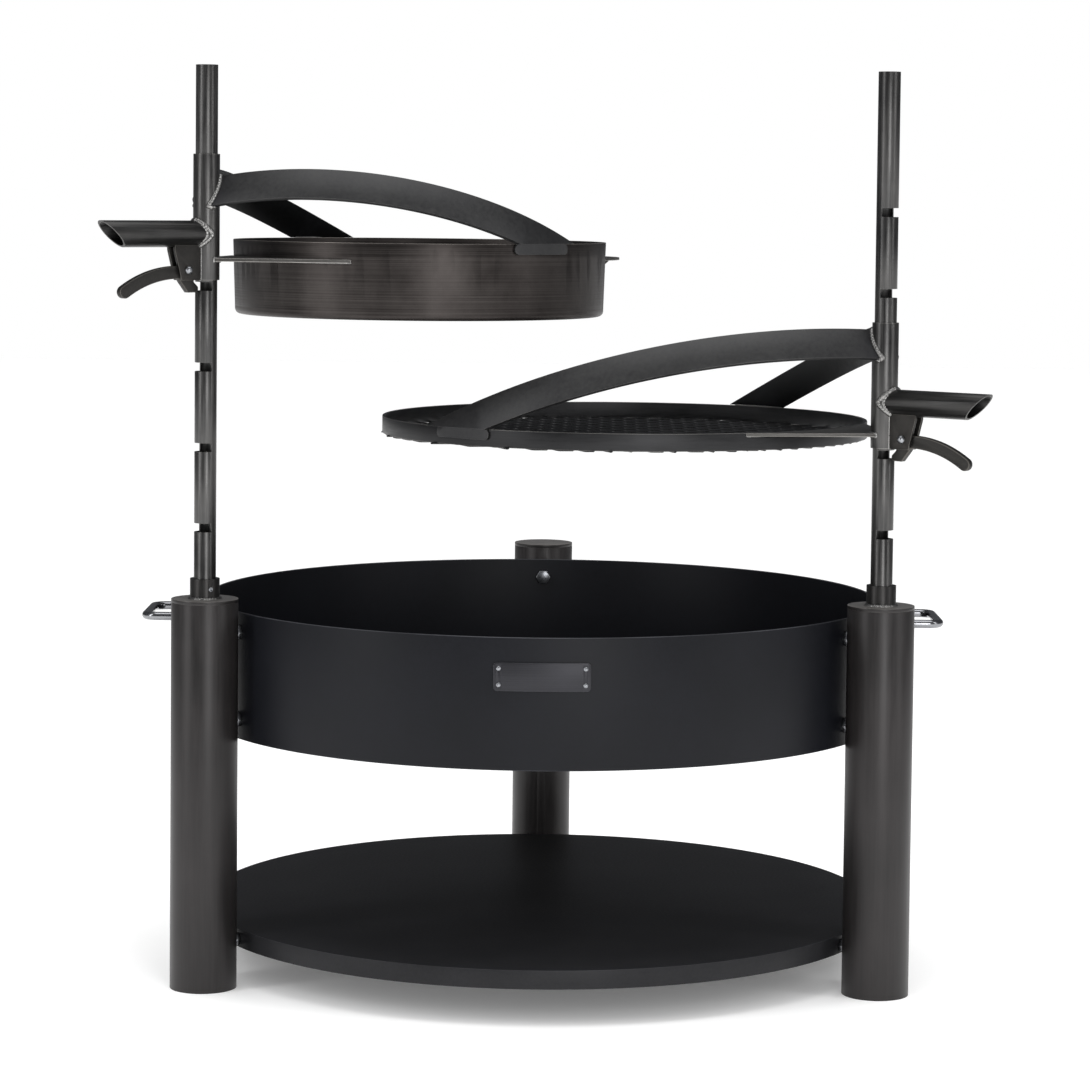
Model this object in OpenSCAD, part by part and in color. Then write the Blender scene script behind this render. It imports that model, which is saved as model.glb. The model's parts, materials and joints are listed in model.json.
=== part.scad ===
// Fire pit with grate: a round fire bowl between three pipe legs, a log shelf below it,
// and two swinging poles that carry a pan and a grate on height-adjustable arms.
// Millimetres, +Z up. The viewer's side is -Y. The origin is on the ground, at the middle of the footprint.

/* [Fire bowl] */
// Outer diameter of the fire ring
ring_d = 800; // [640:10:960]
// Height of the fire ring
ring_h = 146; // [120:1:180]
// Sheet thickness of the fire ring
ring_wall = 3; // [2:0.5:5]
// Height of the bowl floor above the ring's lower edge
floor_rise = 8; // [5:1:9]
// Sheet thickness of the bowl floor
floor_t = 3; // [2:0.5:4]

/* [Legs] */
// Outer diameter of a leg pipe
leg_d = 76.1; // [60.3:0.1:90]
// Wall of a leg pipe
leg_wall = 2.9; // [2:0.1:5]
// Height of a leg with its cap
leg_h = 446; // [360:1:530]
// Thickness of the disc that closes the top of a leg
cap_t = 4; // [3:0.5:6]
// How far a leg stands above the ring's rim
leg_proud = 18; // [10:1:30]
// Gap that the weld nuts hold between ring and leg
standoff = 5; // [4:0.5:8]

/* [Log shelf] */
// Outer diameter of the log shelf
shelf_d = 800; // [640:10:960]
// Height of the shelf's top face
shelf_z = 63; // [45:1:90]
// Depth of the turned-down lip
shelf_lip = 21; // [18:1:30]
// Sheet thickness of the shelf
shelf_t = 3; // [2:0.5:4]

/* [Bolts] */
// Thread diameter of the bolts that hold the ring
bolt_d = 10; // [8:1:12]
// Size across flats of those bolts and their weld nuts
bolt_af = 16; // [13:1:18]
// Depth of the upper ring bolts below the ring's rim
bolt_high = 23; // [18:1:40]
// Depth of the lower ring bolts below the ring's rim
bolt_low = 123; // [80:1:125]
// Thread diameter of the bolts that hold the shelf
shelf_bolt_d = 8; // [6:1:8]
// Size across flats of the shelf bolts and nuts
shelf_bolt_af = 13; // [10:1:13]

/* [Poles] */
// Outer diameter of a pole
pole_d = 25; // [20:1:30]
// Wall of a pole, a sleeve and a grip tube
tube_wall = 2; // [1.5:0.5:3]
// Height of a pole's top above the legs
pole_rise = 603; // [560:1:700]
// Depth of a pole's socket inside its leg
socket_depth = 180; // [120:5:250]
// Height of a collar above its leg
collar_h = 23; // [18:1:40]
// Wall of a collar
collar_wall = 4; // [3:0.5:6]
// Number of latch notches in a pole
notch_count = 5; // [3:1:5]
// Distance between notches
notch_pitch = 91; // [80:1:100]
// Height of a notch
notch_h = 10; // [9:1:12]
// Height of the first notch's top edge above the legs
notch_first = 86; // [60:1:100]

/* [Arms] */
// Angle of each arm, from the line between the poles towards the back
arm_turn = 39; // [30:1:45]
// Length of a sleeve
sleeve_h = 142; // [130:1:160]
// Gap from a sleeve to the pan or the grate
arm_gap = 66; // [55:1:80]
// Width of the flat bars
bar_w = 38; // [30:1:42]
// Thickness of the flat bars
bar_t = 5; // [4:0.5:6]
// Height of the flat bars' bow above a straight line
bar_bow = 57; // [30:1:65]
// Lean of the bars' faces, top edge inwards
bar_cant = 32; // [20:1:36]
// Length of the tab at a bar's foot
tab_l = 78; // [60:1:90]
// How far that tab's middle lies past the rim's widest point
tab_shift = 8; // [0:1:12]
// Depth of that tab below the rim
tab_h = 12; // [8:1:15]
// Reach of a grip from its pole's axis
grip_reach = 140; // [120:1:170]
// Height of a grip's centre above its sleeve's lower end
grip_z = 52; // [48:1:60]
// Thickness of the gusset plates
gusset_t = 4; // [3:0.5:5]
// Width of a gusset where it meets the pan or the grate
gusset_w = 238; // [160:2:280]

/* [Pan] */
// Diameter of the pan at its rim
pan_d = 440; // [380:5:480]
// Height of the pan
pan_h = 87; // [70:1:105]
// Sheet thickness of the pan
pan_wall = 2.5; // [2:0.5:4]
// How much smaller in radius the pan is at its floor
pan_taper = 2.5; // [1:0.5:5]
// Radius of the pan's lower edge
pan_corner = 6; // [4:1:12]
// Height of the pan's rim above the sleeve's lower end
pan_rim_z = 44; // [40:1:55]
// Notch that the pan rests at, counted from the lowest, which is 0
pan_notch = 3; // [3:1:4]
// How far the pan's handle plate stands out
pan_handle_out = 50; // [40:1:60]

/* [Grate] */
// Outer diameter of the grate ring
grate_d = 580; // [480:2:600]
// Height of the grate ring
grate_h = 20; // [18:1:25]
// Thickness of the grate ring
grate_wall = 4; // [3:0.5:5]
// Height of the grate's rim above the sleeve's lower end
grate_rim_z = 17; // [14:1:20]
// Notch that the grate rests at, counted from the lowest, which is 0
grate_notch = 1; // [0:1:1]
// Long way of a mesh opening
mesh_long = 56; // [40:1:70]
// Short way of a mesh opening
mesh_short = 24; // [18:1:30]
// Width of a mesh strand
mesh_strand = 3.4; // [2.5:0.1:4]
// Thickness of the mesh
mesh_t = 3; // [2:0.5:4]

/* [Latch] */
// Thickness of a latch lever
lever_t = 8; // [6:0.5:8]
// Depth of a lever's bar
lever_h = 14.5; // [12:0.5:16]
// Reach of a lever from its pole's axis
lever_reach = 116; // [100:1:125]
// Thickness of a latch plate
latch_plate_t = 4; // [3:0.5:5]
// Diameter of a latch pivot
pivot_d = 6; // [5:0.5:8]

/* [Carry handles] */
// Diameter of the handle rod
rod_d = 10; // [8:0.5:12]
// How far a handle stands out from the ring
carry_out = 76; // [50:1:90]
// Distance between a handle's two legs
carry_w = 115; // [100:1:140]
// Depth of the handles below the ring's rim
carry_drop = 24; // [15:1:40]

/* [Badge plate] */
// Width of the badge plate
badge_w = 106; // [80:1:120]
// Height of the badge plate
badge_h = 31; // [24:1:40]
// Thickness of the badge plate
badge_t = 2; // [1:0.5:3]
// Depth of the badge's centre below the ring's rim
badge_drop = 43; // [30:1:60]
// Diameter of a badge rivet's head
rivet_d = 5.5; // [4:0.5:7]

/* [Clearances] */
// Radial gap between a pole and its sleeve
slide_gap = 0.5; // [0.3:0.05:0.6]
// Radial gap between a pole and its collar
swing_gap = 0.35; // [0.3:0.05:0.5]
// Radial gap between a latch pivot and its lever or plates
pin_gap = 0.1; // [0.05:0.01:0.1]
// Gap between pieces that are welded together
weld_gap = 0.1; // [0.05:0.05:0.2]
// Gap between pieces that rest on each other or that are bolted together
seat_gap = 0.25; // [0.2:0.05:0.3]

/* [Hidden] */
$fn = 96;
LEFT = -1;
RIGHT = 1;

// Heights of the fixed frame
ring_r = ring_d / 2;
rim_z = leg_h - leg_proud;
ring_z = rim_z - ring_h;
shelf_r = shelf_d / 2;
bolt_drops = [bolt_high, bolt_low];
leg_r = leg_d / 2;
leg_circle_r = max(ring_r, shelf_r) + standoff + leg_r;
leg_bore = leg_d - 2 * leg_wall;
leg_angles = [210, 330, 90];
shelf_bolt_z = shelf_z - shelf_t - (shelf_lip - shelf_t) / 2;

// Badge rivets stand furthest forward and the rear leg furthest back
rivet_head_h = rivet_d * 0.3;
rivet_shank_d = 3;
front_reach = max(ring_r + badge_t + weld_gap + rivet_head_h, shelf_r);
back_reach = leg_circle_r + leg_r;
axis_y = (front_reach - back_reach) / 2;

// Poles, sleeves and collars
pole_x = leg_circle_r * cos(30);
pole_y = -leg_circle_r * sin(30);
stop_z = leg_h - socket_depth;
stop_t = 4;
pole_z = stop_z + seat_gap;
pole_l = leg_h + pole_rise - pole_z;
pole_top_t = 3;
sleeve_bore = pole_d + 2 * slide_gap;
sleeve_d = sleeve_bore + 2 * tube_wall;
sleeve_r = sleeve_d / 2;
collar_bore = pole_d + 2 * swing_gap;
collar_d = collar_bore + 2 * collar_wall;
grub_d = 5;
grub_z = leg_h + collar_h / 2;

// A sleeve's lower end stands just above the notch that its latch works in
sleeve_over_notch = 2;
function notch_top(i) = leg_h + notch_first + i * notch_pitch;
function sleeve_z(i) = notch_top(i) + sleeve_over_notch;

// Reach of the arms, and the heights of the bars' middles at their roots and feet
pan_r = pan_d / 2;
grate_r = grate_d / 2;
pan_reach = pan_r + arm_gap + sleeve_r;
grate_reach = grate_r + arm_gap + sleeve_r;
foot_rise = 7;
grate_bar_root = sleeve_h - 26;
pan_bar_root = grate_bar_root - 19;
tab_t = 3;
tab_corner = 6;

// Latch, measured outwards from the pole's axis and up from the sleeve's lower end
latch_side_gap = 0.5;
pivot_at = [sleeve_r + 13.5, 11.5];
plate_inner_y = lever_t / 2 + latch_side_gap;
plate_outer_y = plate_inner_y + latch_plate_t;
pivot_head_d = 10;
pivot_nut_af = 10;
pivot_nut_t = 5;
lever_tip = [lever_reach - lever_h / 2, -12.5];
tooth_gap = 0.5;
tooth_r = pole_d / 2 + tooth_gap;
notch_low = -sleeve_over_notch - notch_h;

// Places

// The ring's axis, which everything is laid out from
module on_axis() {
    translate([0, axis_y, 0]) children();
}

module at_pole(side) {
    on_axis() translate([side * pole_x, pole_y, 0]) children();
}

// An arm's own frame: pole axis at the origin, +X towards the pan or grate, Z from the sleeve's lower end
module on_arm(side) {
    at_pole(side)
        translate([0, 0, sleeve_z(side == LEFT ? pan_notch : grate_notch)])
            rotate([0, 0, side == LEFT ? arm_turn : 180 - arm_turn]) children();
}

// The viewer's side of an arm is -Y on the left arm and +Y on the right arm
module on_front(side) {
    if (side == LEFT) mirror([0, 1, 0]) children();
    else children();
}

module on_back(side) {
    if (side == LEFT) children();
    else mirror([0, 1, 0]) children();
}

// Stands a side view up, with its first axis pointing from the pole towards the grip
module side_view(thick) {
    mirror([1, 0, 0]) rotate([90, 0, 0]) linear_extrude(thick, center = true) children();
}

// Points radially outwards, at one leg's angle and one height
module radial(angle, z, r) {
    rotate([0, 0, angle]) translate([r, 0, z]) rotate([0, 90, 0]) children();
}

// General shapes

module tube(outer_d, inner_d, h) {
    difference() {
        cylinder(d = outer_d, h = h);
        translate([0, 0, -1]) cylinder(d = inner_d, h = h + 2);
    }
}

module hexagon(af, h) {
    cylinder(d = af / cos(30), h = h, $fn = 6);
}

// Rounded rectangle across X, standing in Z, cut through along Y
module rounded_slab(w, h, corner, depth) {
    rotate([90, 0, 0]) linear_extrude(depth, center = true) union() {
        square([w - 2 * corner, h], center = true);
        square([w, h - 2 * corner], center = true);
        for (x = [-1, 1], y = [-1, 1])
            translate([x * (w / 2 - corner), y * (h / 2 - corner)]) circle(corner);
    }
}

// Fire bowl

module fire_ring() {
    color("#26272c") on_axis() difference() {
        translate([0, 0, ring_z]) tube(ring_d, ring_d - 2 * ring_wall, ring_h);
        for (a = leg_angles, d = bolt_drops)
            radial(a, rim_z - d, ring_r - 2 * ring_wall)
                cylinder(d = bolt_d + 2 * seat_gap, h = 4 * ring_wall);
        at_rivets() cylinder(d = rivet_shank_d + 2 * weld_gap, h = 8 * ring_wall, center = true);
    }
}

module bowl_floor() {
    color("#1f2024") on_axis() translate([0, 0, ring_z + floor_rise])
        cylinder(r = ring_r - ring_wall - seat_gap, h = floor_t);
}

// Log shelf: a disc with a turned-down lip
module log_shelf() {
    color("#2f3032") on_axis() difference() {
        translate([0, 0, shelf_z - shelf_lip]) cylinder(r = shelf_r, h = shelf_lip);
        translate([0, 0, shelf_z - shelf_lip - 1])
            cylinder(r = shelf_r - shelf_t, h = shelf_lip - shelf_t + 1);
        for (a = leg_angles)
            radial(a, shelf_bolt_z, shelf_r - 2 * shelf_t)
                cylinder(d = shelf_bolt_d + 2 * seat_gap, h = 4 * shelf_t);
    }
}

// Blank badge plate, curved to lie on the ring
module badge_plate() {
    color("#8d8f92") on_axis() difference() {
        intersection() {
            translate([0, 0, rim_z - badge_drop - badge_h / 2])
                tube(2 * (ring_r + weld_gap + badge_t), 2 * (ring_r + weld_gap), badge_h);
            translate([0, -ring_r, rim_z - badge_drop])
                rounded_slab(badge_w, badge_h, 4, ring_r / 2);
        }
        at_rivets() cylinder(d = rivet_shank_d + 2 * weld_gap, h = 8 * badge_t, center = true);
    }
}

// The four rivets' places, Z pointing out of the ring
module at_rivets() {
    face_r = ring_r + weld_gap + badge_t;
    edge = 5.5;
    turn = asin((badge_w / 2 - edge) / face_r);
    rise = badge_h / 2 - edge - 1;
    for (x = [-1, 1], z = [-1, 1])
        radial(270 + x * turn, rim_z - badge_drop + z * rise, face_r) children();
}

module badge_rivets() {
    grip = badge_t + weld_gap + ring_wall;
    color("#c9cbcd") on_axis() at_rivets() {
        translate([0, 0, -grip]) cylinder(d = rivet_shank_d, h = grip + weld_gap);
        translate([0, 0, weld_gap]) dome(rivet_d, rivet_head_h - weld_gap);
    }
}

// Domed head: the cap of a sphere, standing on its flat face
module dome(d, h) {
    sphere_r = (d * d / 4 + h * h) / (2 * h);
    intersection() {
        translate([0, 0, h - sphere_r]) sphere(sphere_r);
        cylinder(d = d + 1, h = h + 1);
    }
}

// Carry handle: a rod bent to a D and welded to the ring
module carry_handle(side) {
    bend_r = 14;
    out_x = ring_r + carry_out - rod_d / 2;
    leg_y = (carry_w - rod_d) / 2;
    color("#b9bbbe") on_axis() translate([0, 0, rim_z - carry_drop]) difference() {
        mirror([side == LEFT ? 1 : 0, 0, 0]) union() {
            for (s = [-1, 1]) {
                translate([ring_r - carry_out / 2, s * leg_y, 0]) rotate([0, 90, 0])
                    cylinder(d = rod_d, h = out_x - bend_r - ring_r + carry_out / 2);
                translate([out_x - bend_r, s * (leg_y - bend_r), 0]) rotate([0, 0, s > 0 ? 0 : -90])
                    rotate_extrude(angle = 90) translate([bend_r, 0]) circle(d = rod_d);
            }
            translate([out_x, 0, 0]) rotate([90, 0, 0])
                cylinder(d = rod_d, h = 2 * (leg_y - bend_r), center = true);
        }
        translate([0, 0, -rod_d]) cylinder(r = ring_r + weld_gap, h = 2 * rod_d);
    }
}

module left_carry_handle() { carry_handle(LEFT); }
module right_carry_handle() { carry_handle(RIGHT); }

// Legs

module leg(angle) {
    color("#3d3a38") on_axis() difference() {
        rotate([0, 0, angle]) translate([leg_circle_r, 0, 0]) tube(leg_d, leg_bore, leg_h - cap_t);
        for (d = bolt_drops)
            radial(angle, rim_z - d, leg_circle_r - leg_r - 2 * leg_wall)
                cylinder(d = bolt_d + 2 * seat_gap, h = 4 * leg_wall);
        radial(angle, shelf_bolt_z, leg_circle_r - leg_r - 2 * leg_wall)
            cylinder(d = shelf_bolt_d + 2 * seat_gap, h = 4 * leg_wall);
    }
}

module left_leg() { leg(leg_angles[0]); }
module right_leg() { leg(leg_angles[1]); }
module rear_leg() { leg(leg_angles[2]); }

module leg_cap(angle, has_socket) {
    color("#6f6d6b") on_axis() rotate([0, 0, angle]) translate([leg_circle_r, 0, leg_h - cap_t])
        difference() {
            cylinder(d = leg_d, h = cap_t);
            if (has_socket)
                translate([0, 0, -1]) cylinder(d = collar_d + 2 * weld_gap, h = cap_t + 2);
        }
}

module left_leg_cap() { leg_cap(leg_angles[0], true); }
module right_leg_cap() { leg_cap(leg_angles[1], true); }
module rear_leg_cap() { leg_cap(leg_angles[2], false); }

// Socket tube: its upper end is the collar, with one tapped hole for the grub screw
module pole_socket(side) {
    color("#45423f") at_pole(side) difference() {
        translate([0, 0, stop_z]) tube(collar_d, collar_bore, socket_depth + collar_h);
        at_grub(side) cylinder(d = grub_d + 2 * weld_gap, h = collar_d);
    }
}

module left_pole_socket() { pole_socket(LEFT); }
module right_pole_socket() { pole_socket(RIGHT); }

// The grub screw sits a quarter turn round from the line out of the ring
module at_grub(side) {
    rotate([0, 0, (side == LEFT ? leg_angles[0] : leg_angles[1]) + 90])
        translate([0, 0, grub_z]) rotate([0, 90, 0]) children();
}

module grub_screw(side) {
    tip_r = collar_bore / 2 + weld_gap;
    color("#a9abae") at_pole(side) at_grub(side) difference() {
        translate([0, 0, tip_r]) cylinder(d = grub_d, h = collar_wall);
        translate([0, 0, tip_r + collar_wall / 2]) hexagon(grub_d / 2, collar_wall);
    }
}

module left_grub_screw() { grub_screw(LEFT); }
module right_grub_screw() { grub_screw(RIGHT); }

// Disc inside the leg that the socket tube and the pole stand on
module socket_stop(side) {
    color("#45423f") at_pole(side) translate([0, 0, stop_z - stop_t])
        cylinder(d = leg_bore - 2 * seat_gap, h = stop_t);
}

module left_socket_stop() { socket_stop(LEFT); }
module right_socket_stop() { socket_stop(RIGHT); }

// Bolts with their heads inside the sheet, screwed into nuts that are welded to the legs

module bolt(wall_r, wall, d, af, angle, z) {
    inner_r = wall_r - wall;
    head_h = 0.6 * d;
    head_gap = af * af / (8 * inner_r) + seat_gap;
    thread_end = leg_circle_r - leg_r + leg_wall + 0.8 * d;
    radial(angle, z, 0) {
        translate([0, 0, inner_r - head_gap - head_h]) rotate([0, 0, 30]) hexagon(af, head_h);
        translate([0, 0, inner_r - head_gap - 1])
            cylinder(d = d, h = thread_end - inner_r + head_gap + 1);
    }
}

module weld_nut(wall_r, d, af, angle, z) {
    near_r = wall_r + weld_gap;
    radial(angle, z, near_r) difference() {
        rotate([0, 0, 30]) hexagon(af, leg_circle_r - leg_r - weld_gap - near_r);
        translate([0, 0, -1]) cylinder(d = d + 2 * weld_gap, h = 4 * standoff);
    }
}

module ring_bolts() {
    color("#c4c6c8") on_axis() for (a = leg_angles, d = bolt_drops)
        bolt(ring_r, ring_wall, bolt_d, bolt_af, a, rim_z - d);
}

module ring_weld_nuts() {
    color("#c4c6c8") on_axis() for (a = leg_angles, d = bolt_drops)
        weld_nut(ring_r, bolt_d, bolt_af, a, rim_z - d);
}

module shelf_bolts() {
    color("#c4c6c8") on_axis() for (a = leg_angles)
        bolt(shelf_r, shelf_t, shelf_bolt_d, shelf_bolt_af, a, shelf_bolt_z);
}

module shelf_weld_nuts() {
    color("#c4c6c8") on_axis() for (a = leg_angles)
        weld_nut(shelf_r, shelf_bolt_d, shelf_bolt_af, a, shelf_bolt_z);
}

// Poles: tubes with a closed top and notches on the grip's side

module pole(side) {
    color("#4a4846") at_pole(side) difference() {
        translate([0, 0, pole_z]) cylinder(d = pole_d, h = pole_l);
        translate([0, 0, pole_z - 1])
            cylinder(d = pole_d - 2 * tube_wall, h = pole_l - pole_top_t + 1);
        rotate([0, 0, side == LEFT ? arm_turn : 180 - arm_turn])
            for (i = [0 : notch_count - 1])
                translate([-pole_d, -pole_d, notch_top(i) - notch_h])
                    cube([pole_d, 2 * pole_d, notch_h]);
    }
}

module left_pole() { pole(LEFT); }
module right_pole() { pole(RIGHT); }

// Arms

module sleeve(side) {
    color("#454341") on_arm(side) tube(sleeve_d, sleeve_bore, sleeve_h);
}

module left_sleeve() { sleeve(LEFT); }
module right_sleeve() { sleeve(RIGHT); }

// Takes the sleeve's own room out of what is welded to it
module clear_of_sleeve() {
    difference() {
        children();
        translate([0, 0, -sleeve_h]) cylinder(r = sleeve_r + weld_gap, h = 3 * sleeve_h);
    }
}

// Grip: a tube whose outer end is cut at 45 degrees, longer on top
module grip_tube(side) {
    grip_top = grip_z + sleeve_r;
    color("#454341") on_arm(side) clear_of_sleeve() difference() {
        translate([0, 0, grip_z]) rotate([0, -90, 0])
            tube(sleeve_d, sleeve_d - 2 * tube_wall, grip_reach);
        side_view(2 * sleeve_d) polygon([
            [grip_reach - sleeve_d - 1, grip_top - sleeve_d - 1],
            [grip_reach + 1, grip_top + 1],
            [grip_reach + sleeve_d, grip_top + 1],
            [grip_reach + sleeve_d, grip_top - sleeve_d - 1]
        ]);
    }
}

module left_grip_tube() { grip_tube(LEFT); }
module right_grip_tube() { grip_tube(RIGHT); }

// One flat bar, rolled to a gentle arc and leaning inwards, from the sleeve to the rim.
// It lies on the arm's +Y side; its middle line starts on the pole's axis.
module arm_bar(reach, rim_r, root_z, rim_top) {
    foot_z = rim_top + foot_rise;
    span = norm([reach, rim_r]);
    slope = atan((root_z - foot_z) / span);
    chord = norm([span, root_z - foot_z]);
    bend_r = (chord * chord / 4 + bar_bow * bar_bow) / (2 * bar_bow);
    half_angle = asin(chord / 2 / bend_r);
    run_out = 10;
    rotate([0, 0, atan2(rim_r, reach)])
        translate([0, 0, root_z]) rotate([0, slope, 0]) rotate([bar_cant, 0, 0])
            translate([chord / 2, -bend_r * cos(half_angle), 0])
                rotate([0, 0, 90 - half_angle - run_out])
                    rotate_extrude(angle = 2 * half_angle + run_out)
                        translate([bend_r - bar_t / 2, -bar_w / 2]) square([bar_t, bar_w]);
}

// The bar cut off level with the rim, and its tab on the outside of the wall
module rim_bar(reach, rim_r, root_z, rim_top) {
    clear_of_sleeve() union() {
        difference() {
            arm_bar(reach, rim_r, root_z, rim_top);
            translate([0, 0, rim_top + weld_gap - 2 * sleeve_h])
                cylinder(r = 2 * reach, h = 2 * sleeve_h);
        }
        translate([reach, 0, 0]) intersection() {
            translate([0, 0, rim_top - tab_h])
                tube(2 * (rim_r + weld_gap + tab_t), 2 * (rim_r + weld_gap), tab_h + 1);
            translate([tab_shift, rim_r, rim_top - tab_h / 2])
                rounded_slab(tab_l, tab_h + 2 * weld_gap, tab_corner - 1, rim_r / 2);
        }
    }
}

module pan_bar() {
    rim_bar(pan_reach, pan_r, pan_bar_root, pan_rim_z);
}

module grate_bar() {
    rim_bar(grate_reach, grate_r, grate_bar_root, grate_rim_z);
}

module left_front_bar() { color("#414143") on_arm(LEFT) on_front(LEFT) pan_bar(); }
module left_rear_bar() { color("#414143") on_arm(LEFT) on_back(LEFT) pan_bar(); }
module right_front_bar() { color("#414143") on_arm(RIGHT) on_front(RIGHT) grate_bar(); }
module right_rear_bar() { color("#414143") on_arm(RIGHT) on_back(RIGHT) grate_bar(); }

// How far in from a circle's middle a chord of width w lies
function chord_in(r, w) = sqrt(r * r - w * w / 4);

// Plate from the sleeve to the wall, spreading as it goes
module gusset(reach, wall_r, top) {
    tip = [reach - chord_in(wall_r, gusset_w), gusset_w / 2];
    clear_of_sleeve() translate([0, 0, top - gusset_t]) linear_extrude(gusset_t) difference() {
        polygon([[0, sleeve_r], tip, [tip[0], -tip[1]], [0, -sleeve_r]]);
        translate([reach, 0]) circle(wall_r + weld_gap);
    }
}

module left_gusset() {
    color("#55524f") on_arm(LEFT) gusset(pan_reach, pan_r, pan_rim_z - 19);
}

module right_gusset() {
    color("#55524f") on_arm(RIGHT) gusset(grate_reach, grate_r, grate_rim_z);
}

// Latch

// Two plates under the grip, which carry the lever's pivot
module latch_plates(side) {
    color("#26262a") on_arm(side) clear_of_sleeve() difference() {
        for (s = [-1, 1])
            translate([0, s * (plate_inner_y + latch_plate_t / 2), 0]) side_view(latch_plate_t)
                polygon([
                    [0, 0], [sleeve_r + 23, 0], [sleeve_r + 32, grip_z - 18],
                    [sleeve_r + 32, grip_z], [0, grip_z]
                ]);
        translate([0, 0, grip_z]) rotate([0, -90, 0])
            cylinder(d = sleeve_d + 2 * weld_gap, h = grip_reach);
        at_pivot() cylinder(d = pivot_d + 2 * pin_gap, h = 4 * plate_outer_y, center = true);
    }
}

// The pivot's axis lies across the arm
module at_pivot() {
    translate([-pivot_at[0], 0, pivot_at[1]]) rotate([-90, 0, 0]) children();
}

module left_latch_plates() { latch_plates(LEFT); }
module right_latch_plates() { latch_plates(RIGHT); }

module pivot_bolt(side) {
    head_h = 4;
    thread_l = pivot_nut_t + 1;
    color("#8c8a87") on_arm(side) on_front(side) at_pivot() {
        translate([0, 0, plate_outer_y + weld_gap]) dome(pivot_head_d, head_h);
        translate([0, 0, -plate_outer_y - thread_l])
            cylinder(d = pivot_d, h = 2 * plate_outer_y + thread_l + weld_gap + 1);
    }
}

module left_pivot_bolt() { pivot_bolt(LEFT); }
module right_pivot_bolt() { pivot_bolt(RIGHT); }

module pivot_nut(side) {
    color("#8c8a87") on_arm(side) on_front(side) at_pivot()
        translate([0, 0, -plate_outer_y - weld_gap - pivot_nut_t]) difference() {
            hexagon(pivot_nut_af, pivot_nut_t);
            translate([0, 0, -1]) cylinder(d = pivot_d + 2 * weld_gap, h = pivot_nut_t + 2);
        }
}

module left_pivot_nut() { pivot_nut(LEFT); }
module right_pivot_nut() { pivot_nut(RIGHT); }

// Points along a bowed line from a to b, moved sideways by off
function bow(a, b, sag, off, steps) =
    let (d = b - a, l = norm(d), n = [-d[1], d[0]] / l)
    [for (i = [0 : steps])
        let (t = i / steps, tilt = atan(4 * sag * (1 - 2 * t) / l),
             side = n * cos(tilt) - d / l * sin(tilt))
        a + d * t + n * (4 * sag * t * (1 - t)) + side * off];

// Lever's outline: the bowed bar's top edge, its round tip, its lower edge back to the nose,
// the tooth, and the hub's back
function lever_profile() =
    let (root = [sleeve_r + 19, 9], sag = 6, steps = 16,
         d = lever_tip - root,
         tip_slope = atan2(d[1], d[0]) - atan(4 * sag / norm(d)),
         top = bow(root, lever_tip, sag, lever_h / 2, steps),
         low = bow(root, lever_tip, sag, -lever_h / 2, steps))
    concat(
        [for (i = [1 : steps]) top[i]],
        [for (a = [75 : -15 : -75])
            lever_tip + lever_h / 2 * [cos(tip_slope + a), sin(tip_slope + a)]],
        [for (i = [steps : -1 : 1]) low[i]],
        [[sleeve_r + 21.5, -2], [sleeve_r + 12, notch_low - 2], [tooth_r + 3, notch_low - 1.8],
         [tooth_r, notch_low + 0.4], [tooth_r, -7.5], [sleeve_r + 3.8, -2]],
        [for (a = [195 : -15 : 60]) pivot_at + 9 * [cos(a), sin(a)]]
    );

// Lever: a hub on the pivot, a bowed bar to pull up, and a nose whose tooth enters a notch.
// It is drawn just released, so that the tooth clears the pole.
module latch_lever(side) {
    color("#4a4845") on_arm(side) difference() {
        side_view(lever_t) polygon(lever_profile());
        at_pivot() cylinder(d = pivot_d + 2 * pin_gap, h = 4 * plate_outer_y, center = true);
    }
}

module left_latch_lever() { latch_lever(LEFT); }
module right_latch_lever() { latch_lever(RIGHT); }

// Pan

// Pan's outline: outer wall up to the rim, then the inside down to the floor
function pan_profile() =
    let (low_r = pan_r - pan_taper, inner = pan_corner - pan_wall)
    concat(
        [[0, 0]],
        [for (a = [-90 : 15 : 0])
            [low_r - pan_corner + pan_corner * cos(a), pan_corner + pan_corner * sin(a)]],
        [[pan_r, pan_h], [pan_r - pan_wall, pan_h]],
        [for (a = [0 : -15 : -90])
            [low_r - pan_corner + inner * cos(a), pan_corner + inner * sin(a)]],
        [[0, pan_wall]]
    );

module pan() {
    color("#403b38") on_arm(LEFT) translate([pan_reach, 0, pan_rim_z - pan_h])
        rotate_extrude() polygon(pan_profile());
}

// Thin crescent plate opposite the sleeve, with two ribs under it
module pan_handle() {
    plate_t = 3;
    rib_angle = 24;
    top = pan_rim_z - 19;
    chord_x = chord_in(pan_r, gusset_w);
    chord_y = gusset_w / 2;
    out_x = pan_r + pan_handle_out;
    centre_x = (out_x * out_x - chord_x * chord_x - chord_y * chord_y) / (2 * (out_x - chord_x));
    color("#55524f") on_arm(LEFT) translate([pan_reach, 0, 0]) difference() {
        union() {
            translate([centre_x, 0, top - plate_t]) cylinder(r = out_x - centre_x, h = plate_t);
            for (s = [-1, 1]) rotate([0, 0, s * rib_angle])
                translate([pan_r - 5, 0, top - plate_t]) rotate([90, 0, 0])
                    linear_extrude(plate_t, center = true)
                        polygon([[0, 0.5], [17, 0.5], [17, -1], [8, -9], [0, -9]]);
        }
        translate([0, 0, top - pan_h]) cylinder(r = pan_r + weld_gap, h = 2 * pan_h);
    }
}

// Grate

module grate_ring() {
    color("#3c3d3f") on_arm(RIGHT) translate([grate_reach, 0, grate_rim_z - grate_h])
        tube(grate_d, grate_d - 2 * grate_wall, grate_h);
}

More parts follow.
